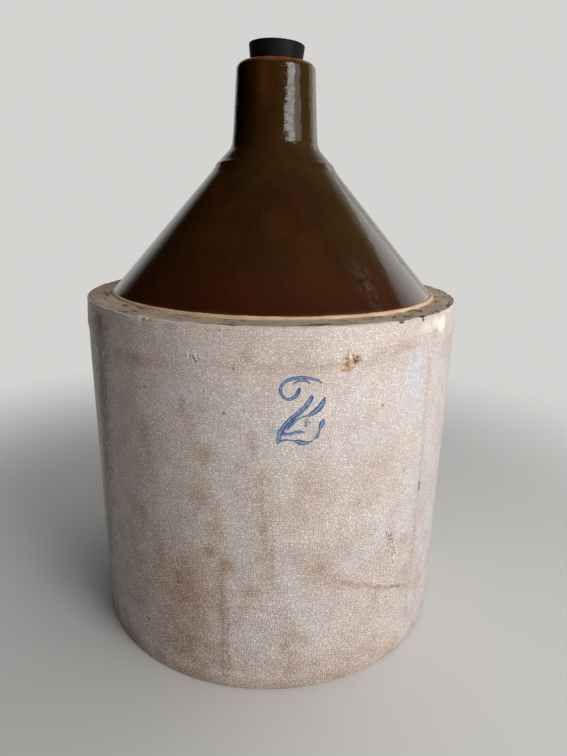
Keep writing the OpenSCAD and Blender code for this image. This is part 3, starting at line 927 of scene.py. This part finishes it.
# The shoulder cone
# Thrown upside down as a wide funnel, then turned over and set in the crock's seat. It is dipped
# in a dark brown slip glaze that melts to a deep gloss, and the thrower's rings show through it.
neck_length = 0.045
neck_root_radius = 0.0255
lip_radius = 0.0233
mouth_radius = 0.01525
spigot_wall = 0.0045
lap_drop = 0.011
cone_wall = 0.009
cone_rounding = 0.001
cone_ring_pitch = 0.0062
cone_sides = 420
neck_low, neck_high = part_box("neck_collar")
cone_top_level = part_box("shoulder_cone")[1].z
lip_level = neck_high.z
neck_root_level = lip_level - neck_length
spigot_radius = mouth_radius + spigot_wall
lap_level = neck_root_level - lap_drop
cone_foot_level = slip_top
cone_slope = (cone_foot_radius - neck_root_radius) / (neck_root_level - cone_foot_level)


def cone_radius(level):
    """The cone's outside falls away in a straight line from its foot to the root of the neck."""
    return cone_foot_radius - (level - cone_foot_level) * cone_slope


cone_start = cone_foot_level + 0.0006
cone_outer = cone_foot_radius - 0.0002
cone_inner = cone_foot_radius - cone_wall
cone_outline = outline_of(
    ((flange_radius, seat_level), 3), ((cone_outer, seat_level), 4),
    ((cone_outer, cone_foot_level - 0.0004), 0),
    arc((cone_outer - cone_rounding, cone_foot_level - 0.0003), cone_rounding, 0, 48, 4),
    ((cone_radius(cone_start), cone_start), 120), ((cone_radius(cone_top_level), cone_top_level), 4),
    ((spigot_radius, cone_top_level), 3), ((spigot_radius, cone_top_level - 0.004), 16),
    ((cone_inner, cone_foot_level), 3),
)


def cone_relief(azimuth, radius, height):
    """Throwing rings, which climb as a spiral 6 mm a turn, fading in and out, on a slow unevenness."""
    outside = (height > cone_foot_level) & (radius > cone_radius(height) - 0.001)
    rings = np.cos(azimuth - math.tau * height / cone_ring_pitch)
    rings = rings * (0.6 + 0.4 * ripple(azimuth, height, 21, 3, 12))
    return outside * (0.000012 * rings + 0.00018 * ripple(azimuth, height, 22, 4, 9))


cone = turned("cone", cone_outline, cone_sides, cone_relief, ring=True)
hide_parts("shoulder_cone")
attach(cone, "jug")

# The brown glaze: near black where it lies thick and where shade is painted on the neck's left,
# orange brown where it is thin, over edges, and a lighter olive painted towards the lit right
# side. Fine iron specks float in it, and its skin is dimpled like an orange's.
brown_dip, build, given, result = new_group(
    "brown_dip", {"Vector": None, "Thin": 0, "Thick": 0},
    {"Color": "Color", "Roughness": "Float", "Height": "Float"},
)
where = given["Vector"]
flow = build.noise(where, 38, 4, 0.6, stretch=(1, 1, 0.35))
cloudy = build.noise(where, 16, 3)
speck = build.remap(build.noise(where, 1300, 2, 0.6), 0.6, 0.72)
x, y, z = build.axes(where)
from_axis = build.axes(build.group(laid_flat, Vector=where)["Vector"])["Z"]
# Painted light: a lighter olive towards the jug's right, the side the lamps light
lit_side = build.plus(build.calc("DIVIDE", x, from_axis), build.times(cloudy, 0.5))
deep = build.coats(
    build.blend(build.remap(cloudy, 0.35, 0.65), (0.029, 0.009, 0.0018), (0.037, 0.0165, 0.0032)),
    (build.remap(flow, 0.42, 0.68), 0.7, (0.062, 0.018, 0.0036)),
    (build.remap(lit_side, 0.45, 1.05), 0.75, (0.046, 0.028, 0.0055)),
    (build.remap(z, crock_height, crock_height + 0.035, 1, 0), 0.75, (0.046, 0.0095, 0.0035)),
    (given["Thick"], 0.95, (0.004, 0.0014, 0.0006)),
    (speck, 0.35, (0.13, 0.075, 0.035)),
)
thin = build.remap(build.times(given["Thin"], build.plus(flow, 0.45)), 0.15, 0.9)
dimple = build.noise(where, 330, 2, 0.5)
grit = build.remap(build.noise(where, 800, 2), 0.62, 0.72)
build.fill(result, {
    "Color": build.blend(thin, deep, (0.3, 0.105, 0.03)),
    "Roughness": build.remap(cloudy, 0.3, 0.7, 0.07, 0.12),
    "Height": build.minus(dimple, build.times(grit, 0.25)),
})


def brown_glazed(name, dimples):
    """The brown glaze on one piece, thin, thick and scuffed dull where the piece's own masks say so,
    with its skin dimpled by a depth in metres and drawn out downwards as it ran."""
    material, nodes, shader, where = new_material(name)
    dip = nodes.group(brown_dip, Vector=where, Thin=nodes.mask("thin"), Thick=nodes.mask("thick"))
    streaked = nodes.remap(nodes.noise(where, 240, 3, 0.7, stretch=(1, 1, 0.12)), 0.4, 0.66)
    scuffed = nodes.times(nodes.mask("dull"), streaked)
    colour = nodes.coats(dip["Color"], (scuffed, 0.4, (0.115, 0.098, 0.1)))
    roughness = nodes.plus(dip["Roughness"], nodes.times(scuffed, 0.25))
    drawn = nodes.noise(where, 420, 2, 0.5, stretch=(1, 1, 0.22))
    skin = nodes.plus(dip["Height"], nodes.times(drawn, 0.8))
    surface(nodes, shader, colour, roughness, skin, dimples, 0.8)
    return material


# Where handling has scuffed the glaze dull
dull_places = [(27, 222.5, 5.5, 12, 1), (23.5, 229, 3, 9, 0.7), (-150, 240, 20, 20, 0.8)]
brown_glaze = brown_glazed("brown_glaze", 0.00007)
cone_azimuth, cone_r, cone_z = round_the_axis(cone_outline, cone_sides)[:3]
above_foot = np.maximum(cone_z - cone_foot_level, 0)
near_foot = np.exp(-above_foot / 0.0016) + 0.18 * np.exp(-above_foot / 0.02)
keep_mask(cone, "thin", 0.35 * near_foot + 0 * cone_azimuth)
keep_mask(cone, "dull", spots(cone_azimuth, cone_z, cone_r, dull_places))
cone.data.materials.append(brown_glaze)

# The neck
# Thrown apart and luted on: its foot laps over the top of the cone, which leaves a low ring, and
# its spigot hangs in the opening. The glaze is thin on the lip and on the lap's edge.
neck_sides = 320
lap_thickness = 0.0004
lap_length = 0.0042
neck_ring_pitch = 0.0052
flare_radius = 0.01
lip_rounding = 0.004
mouth_rounding = 0.0012
spigot_rounding = 0.002
lap_edge = (cone_radius(lap_level) + lap_thickness, lap_level + lap_thickness)
toe_level = lap_level - lap_length
lap_toe = (cone_radius(toe_level) - 0.0002, toe_level)
lap_turn = math.atan2(lap_edge[0] - neck_root_radius, neck_root_level - lap_edge[1])
side_turn = math.atan2(neck_root_radius - lip_radius, lip_level - neck_root_level)
flare_leg = flare_radius * math.tan((lap_turn - side_turn) / 2)
up_side = np.array([-math.sin(side_turn), math.cos(side_turn)])
out_of_side = np.array([math.cos(side_turn), math.sin(side_turn)])
flare_start = np.array([neck_root_radius, neck_root_level]) + flare_leg * up_side
flare_centre = flare_start + flare_radius * out_of_side
flare = arc(flare_centre, flare_radius, 180 + math.degrees(lap_turn), 180 + math.degrees(side_turn), 14)
spigot_low = neck_low.z
neck_start = (cone_radius(lap_level) - 0.0008, lap_level + 0.0002)
lip_inner = lip_radius - lip_rounding
mouth_outer = mouth_radius + mouth_rounding
spigot_outer = spigot_radius - 0.0001
spigot_turn = mouth_radius + spigot_rounding
neck_outline = outline_of(
    (neck_start, 1), (lap_toe, 9), (lap_edge, 12), flare, (flare_start, 40),
    ((lip_radius, lip_level - lip_rounding), 0),
    arc((lip_inner, lip_level - lip_rounding), lip_rounding, math.degrees(side_turn), 90, 10),
    ((lip_inner, lip_level), 4),
    arc((mouth_outer, lip_level - mouth_rounding), mouth_rounding, 90, 180, 6),
    ((mouth_radius, lip_level - mouth_rounding), 22),
    arc((spigot_turn, spigot_low + spigot_rounding), spigot_rounding, 180, 270, 4),
    ((spigot_turn, spigot_low), 2), ((spigot_outer, spigot_low), 4),
    ((spigot_outer, cone_top_level), 4), ((cone_radius(cone_top_level) - 0.0006, cone_top_level), 0),
)
# Folds in the smoothed foot, as places whose heights are above the lap
lap_folds = [
    (-14, 7.5, 7, 0.5, 1), (4, 6, 5, 0.6, -0.8), (38, 8.5, 6, 0.6, 0.9), (120, 7, 9, 0.6, 0.9),
    (-110, 6.5, 8, 0.6, -0.8), (18, 12, 3, 1.2, 1.2),
]


def neck_relief(azimuth, radius, height):
    """Throwing rings on the neck's outside, 5 mm apart and uneven, a slow unevenness, the ridge and
    folds where the foot was smoothed down, and the neck's slow spread above it."""
    outside = (radius > mouth_radius + 0.0035) & (radius > cone_radius(height) - 0.0004)
    outside = outside & (height > lap_level - 0.0036)
    rings = np.cos(azimuth + math.tau * height / neck_ring_pitch)
    rings = rings * (0.5 + 0.5 * ripple(azimuth, height, 31, 3, 20))
    slow = 0.00012 * ripple(azimuth, height, 32, 3, 18)
    dimples = 0.000022 * ripple(azimuth, height, 33, 34, 160, 40)
    lap = 0.00026 * hill(height - lap_level - 0.0012, 0.0009) * (1 + 0.5 * ripple(azimuth, 0, 34, 7, 1))
    folds = 0.00016 * spots(azimuth, height - lap_level, neck_root_radius, lap_folds)
    spread = 0.00035 * np.exp(-np.abs(height - neck_root_level - 0.003) / 0.0035)
    return outside * (0.00003 * rings + slow + dimples + lap + folds + spread)


neck = turned("neck", neck_outline, neck_sides, neck_relief, ring=True)
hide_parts("neck_collar")
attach(neck, "jug")
neck_azimuth, neck_r, neck_z = round_the_axis(neck_outline, neck_sides)[:3]
on_lip = hill(lip_level - neck_z, 0.0026) * (neck_r > mouth_radius + 0.0005)
on_lip = on_lip * (0.8 + 0.14 * ripple(neck_azimuth, neck_z, 35, 16, 200, 16))
# Painted shade, near black, down the neck's left side, a thick pool at the back, and where the
# dip ran thin
neck_thick_and_shade = [(-72, 326, 17, 42, 1), (150, 320, 8, 20, 0.7)]
neck_thin = [(-24, 328, 9.5, 24, 0.3), (-10, 346, 9, 6, 0.35), (100, 335, 6, 16, 0.35)]
thin_here = np.maximum(on_lip, spots(neck_azimuth, neck_z, neck_root_radius, neck_thin))
keep_mask(neck, "thick", spots(neck_azimuth, neck_z, neck_root_radius, neck_thick_and_shade))
keep_mask(neck, "thin", thin_here.clip(0, 1))
neck.data.materials.append(brown_glazed("neck_glaze", 0.00014))

# The handle
# A strap pulled from a lump of clay, pressed onto the neck, bent over and pressed onto the cone
# with the thumb. Pulling leaves shallow grooves along it, and the glaze runs thin on its edges.
strap_width = 0.025
strap_thickness = 0.01
strap_reach = 0.08
strap_drop = 0.018
strap_rise = 0.045
strap_top_level = lip_level - strap_drop
strap_foot_level = crock_height + strap_rise
strap_rows = 150
strap_sides = 72
neck_taper = (neck_root_radius - lip_radius) / (lip_level - neck_root_level)
neck_side = neck_root_radius - (strap_top_level - neck_root_level) * neck_taper
handle_reach = (strap_reach - strap_thickness / 2 - neck_root_radius / 2) * 4 / 3
strap_handles = np.array([
    (neck_side - strap_thickness, strap_top_level - strap_thickness / 2),
    (handle_reach, strap_top_level + strap_thickness * 2),
    (handle_reach + strap_thickness, strap_foot_level + strap_thickness * 2),
    (cone_radius(strap_foot_level) - strap_thickness, strap_foot_level - strap_thickness / 2),
])


def strap_surface(rows, sides):
    """A rounded strap carried along a cubic curve behind the neck. At each place the section is a
    half width times cos b and a half thickness times sin b, both to the power 0.8, which squares
    it a little. It swells towards both joints, and two grooves run along its outer face."""
    t = np.linspace(0, 1, rows)[:, None]
    weights = np.concatenate([(1 - t) ** 3, 3 * (1 - t) ** 2 * t, 3 * (1 - t) * t**2, t**3], 1)
    centre = weights @ strap_handles
    along = np.gradient(centre, axis=0)
    along /= np.linalg.norm(along, axis=1)[:, None]
    b = math.tau * np.arange(sides)[None, :] / sides
    swell = 1 + 0.45 * (1 - t) ** 6 + 0.3 * t**8
    spread = swell + 0.3 * hill(t, 0.09) + 0.35 * hill(1 - t, 0.1)
    side = strap_width / 2 * spread * np.sign(np.cos(b)) * np.abs(np.cos(b)) ** 0.8
    out = strap_thickness / 2 * swell * np.sign(np.sin(b)) * np.abs(np.sin(b)) ** 0.8
    grooves = 0.0006 * (hill(side - 0.0045, 0.0016) + hill(side + 0.0045, 0.0016))
    thumb = 0.0022 * hill(side, 0.0075) * hill(t - 0.9, 0.035)
    out = out - np.sin(b).clip(0, 1) * (grooves * (1 - 0.6 * t) + thumb)
    wobble = 0.00025 * ripple(b, 0.1 * t, 41, 3, 14)
    y = centre[:, :1] + (out + wobble) * along[:, 1:]
    z = centre[:, 1:] - (out + wobble) * along[:, :1]
    ridge = np.abs(np.cos(b)) ** 6 + 0 * t
    return np.stack([side, y, z], 2), ridge


strap_points, strap_ridge = strap_surface(strap_rows, strap_sides)
strap = put_in_scene("strap_handle", strap_points, tube_faces(strap_rows, strap_sides))
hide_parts("handle_strap")
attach(strap, "jug")
keep_mask(strap, "thin", 0.45 * strap_ridge)
strap.data.materials.append(brown_glaze)

# The stopper
# A moulded rubber bung with a straight taper. It sits in the mouth a little out of true. Its
# top edge is nicked, age has left a dull grey bloom on it, and the mould a shallow ring.
stopper_length = 0.025
stopper_out = 0.0099
stopper_narrowing = 0.003
mouth_play = 0.00025
stopper_taper = stopper_narrowing / stopper_length
stopper_lean = math.radians(1.8)
stopper_top_radius = mouth_radius - mouth_play + stopper_out * stopper_taper
stopper_low_radius = stopper_top_radius - stopper_narrowing
stopper_sides = 200
bung_edge = 0.0007
stopper_outline = outline_of(
    ((0, 0), 8),
    arc((stopper_low_radius - bung_edge, bung_edge), bung_edge, -90, 0, 5),
    ((stopper_low_radius, bung_edge), 30),
    arc((stopper_top_radius - bung_edge, stopper_length - bung_edge), bung_edge, 0, 90, 6),
    ((stopper_top_radius - bung_edge, stopper_length), 26), ((0, stopper_length), 1),
)


def stopper_relief(azimuth, radius, height):
    """The mould's ring in the top face, the face's slight dish, and small nicks round its edge."""
    ring = 0.00035 * hill(radius - 0.0118, 0.0005)
    dish = 0.0003 * (1 - (radius / stopper_top_radius) ** 2)
    nicks = 0.0001 * np.abs(ripple(azimuth, height, 51, 60, 300)) * (height > stopper_length - 0.002)
    on_face = height > stopper_length - 0.0002
    return -(ring + dish) * on_face - nicks * (radius > stopper_top_radius - 0.0012)


stopper = turned("rubber_bung", stopper_outline, stopper_sides, stopper_relief)
lean = Matrix.Translation((0, 0, lip_level)) @ Matrix.Rotation(stopper_lean, 4, "Y")
stopper.data.transform(lean @ Matrix.Translation((0, 0, stopper_out - stopper_length)))
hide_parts("stopper")
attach(stopper, "stopper")

rubber, nodes, shader, where = new_material("black_rubber", 0.14)
bloom = nodes.noise(where, 120, 4, 0.65)
dust = nodes.remap(nodes.noise(where, 900, 3, 0.7), 0.58, 0.74)
black = nodes.coats(
    nodes.blend(nodes.remap(bloom, 0.4, 0.75), (0.0045, 0.0045, 0.005), (0.01, 0.0103, 0.0115)),
    (dust, 0.15, (0.09, 0.088, 0.085)),
)
pebble = nodes.plus(nodes.noise(where, 700, 3), nodes.times(bloom, 0.5))
surface(nodes, shader, black, nodes.remap(bloom, 0.3, 0.7, 0.5, 0.7), pebble, 0.00008, 0.6)
stopper.data.materials.append(rubber)

# The table and the room
# A plain pale table, and a pale room that is brightest behind the jug and to its right and dark
# in front and overhead, as a room is that has its windows on one side.
table_half = 3
table_corners = [(-1, -1), (1, -1), (1, 1), (-1, 1)]
table_mesh = bpy.data.meshes.new("table")
table_mesh.from_pydata([(x * table_half, y * table_half, 0) for x, y in table_corners], [], [(0, 1, 2, 3)])
table = bpy.data.objects.new("table", table_mesh)
bpy.context.collection.objects.link(table)
pale_backdrop = (0.66, 0.655, 0.64, 1)
table_paint, nodes, shader, where = new_material("table_paint", 0.2)
nodes.fill(shader.inputs, {"Base Color": (0.7, 0.7, 0.69, 1), "Roughness": 0.8})
far_off = nodes.remap(nodes.vector("LENGTH", where, out="Value"), 0.24, 0.62)
unlit = nodes.add("Emission", {"Color": pale_backdrop, "Strength": 1}).outputs[0]
fade = nodes.times(far_off, nodes.add("LightPath").outputs["Is Camera Ray"])
joined = nodes.add("MixShader", {0: fade, 1: shader.outputs[0], 2: unlit}).outputs[0]
nodes.feed(table_paint.node_tree.nodes["Material Output"].inputs["Surface"], joined)
table.data.materials.append(table_paint)

room = bpy.data.worlds.new("room")
bpy.context.scene.world = room
room.use_nodes = True
room.node_tree.nodes.clear()
nodes = Nodes(room.node_tree)
right, back, up = nodes.axes(nodes.add("TexCoord").outputs["Generated"])
overhead = nodes.times(nodes.remap(up, 0.3, 0.9, 0, 0.6), nodes.remap(right, -0.7, 0.5, 0.1, 1))
glow = nodes.plus(nodes.remap(right, -0.65, 0.9, 0, 0.275), overhead)
behind = nodes.remap(nodes.plus(nodes.times(back, 0.95), nodes.times(right, 0.31)), 0.53, 0.76)
behind = nodes.times(behind, nodes.remap(up, 0.35, 0.85, 1, 0))
rays = nodes.add("LightPath").outputs
mirrored = nodes.larger(rays["Is Glossy Ray"], rays["Is Transmission Ray"])
glow = nodes.times(glow, nodes.minus(1, nodes.times(mirrored, 0.95)))
shown = nodes.larger(rays["Is Camera Ray"], nodes.times(mirrored, behind))
lit = nodes.add("Background", {"Color": (1, 0.99, 0.97, 1), "Strength": glow}).outputs[0]
seen = nodes.add("Background", {"Color": pale_backdrop, "Strength": 1}).outputs[0]
mixed = nodes.add("MixShader", {0: shown, 1: lit, 2: seen}).outputs[0]
nodes.add("OutputWorld", {"Surface": mixed})


def softbox(name, azimuth, height, distance, width, tall, power, colour):
    """A rectangular lamp at an azimuth from the front, in degrees, facing the middle of the jug."""
    lamp = bpy.data.lights.new(name, "AREA")
    lamp.shape = "RECTANGLE"
    lamp.size, lamp.size_y, lamp.energy, lamp.color = width, tall, power, colour
    a = math.radians(azimuth)
    place = Vector((distance * math.sin(a), -distance * math.cos(a), height))
    aim = (place - Vector((0, 0, lit_level))).to_track_quat("Z", "Y")
    made = bpy.data.objects.new(name, lamp)
    made.matrix_world = Matrix.Translation(place) @ aim.to_matrix().to_4x4()
    bpy.context.collection.objects.link(made)


lit_level = 0.18
daylight = (1, 0.99, 0.98)
softbox("window", 30.5, 0.3, 1.1, 0.45, 0.56, 5.1, daylight)
softbox("window_edge", 53, 0.42, 1.1, 0.44, 0.85, 1.85, daylight)
softbox("upper_window", 36, 0.79, 1.1, 0.42, 0.36, 2.9, daylight)
softbox("side_window", 120, 0.42, 1.1, 0.7, 0.8, 1, (0.97, 0.98, 1))

# The camera
# A telephone held at the height of the cone, close to the jug and a little to its left, looking
# down at it. The numeral then stands right of the jug's middle and the neck hides the handle.
camera_azimuth = math.radians(-7.5)
camera_distance = 0.3701
camera_height = 0.2673
look_down = math.radians(17.45)
look_right = math.radians(1.23)
tilt = math.radians(1.16)
focal_pixels = 568
image_height = 756
sensor_mm = 36

camera_data = bpy.data.cameras.new("camera")
camera_data.sensor_width = sensor_mm
camera_data.lens = focal_pixels / image_height * sensor_mm
camera_data.clip_start = 0.01
camera = bpy.data.objects.new("camera", camera_data)
stand = Matrix.Rotation(camera_azimuth, 4, "Z") @ Matrix.Translation((0, -camera_distance, camera_height))
level_view = Matrix.Rotation(-look_right, 4, "Z") @ Matrix.Rotation(math.pi / 2 - look_down, 4, "X")
camera.matrix_world = stand @ level_view @ Matrix.Rotation(tilt, 4, "Z")
bpy.context.collection.objects.link(camera)
bpy.context.scene.camera = camera
bpy.context.scene.view_settings.view_transform = "Standard"
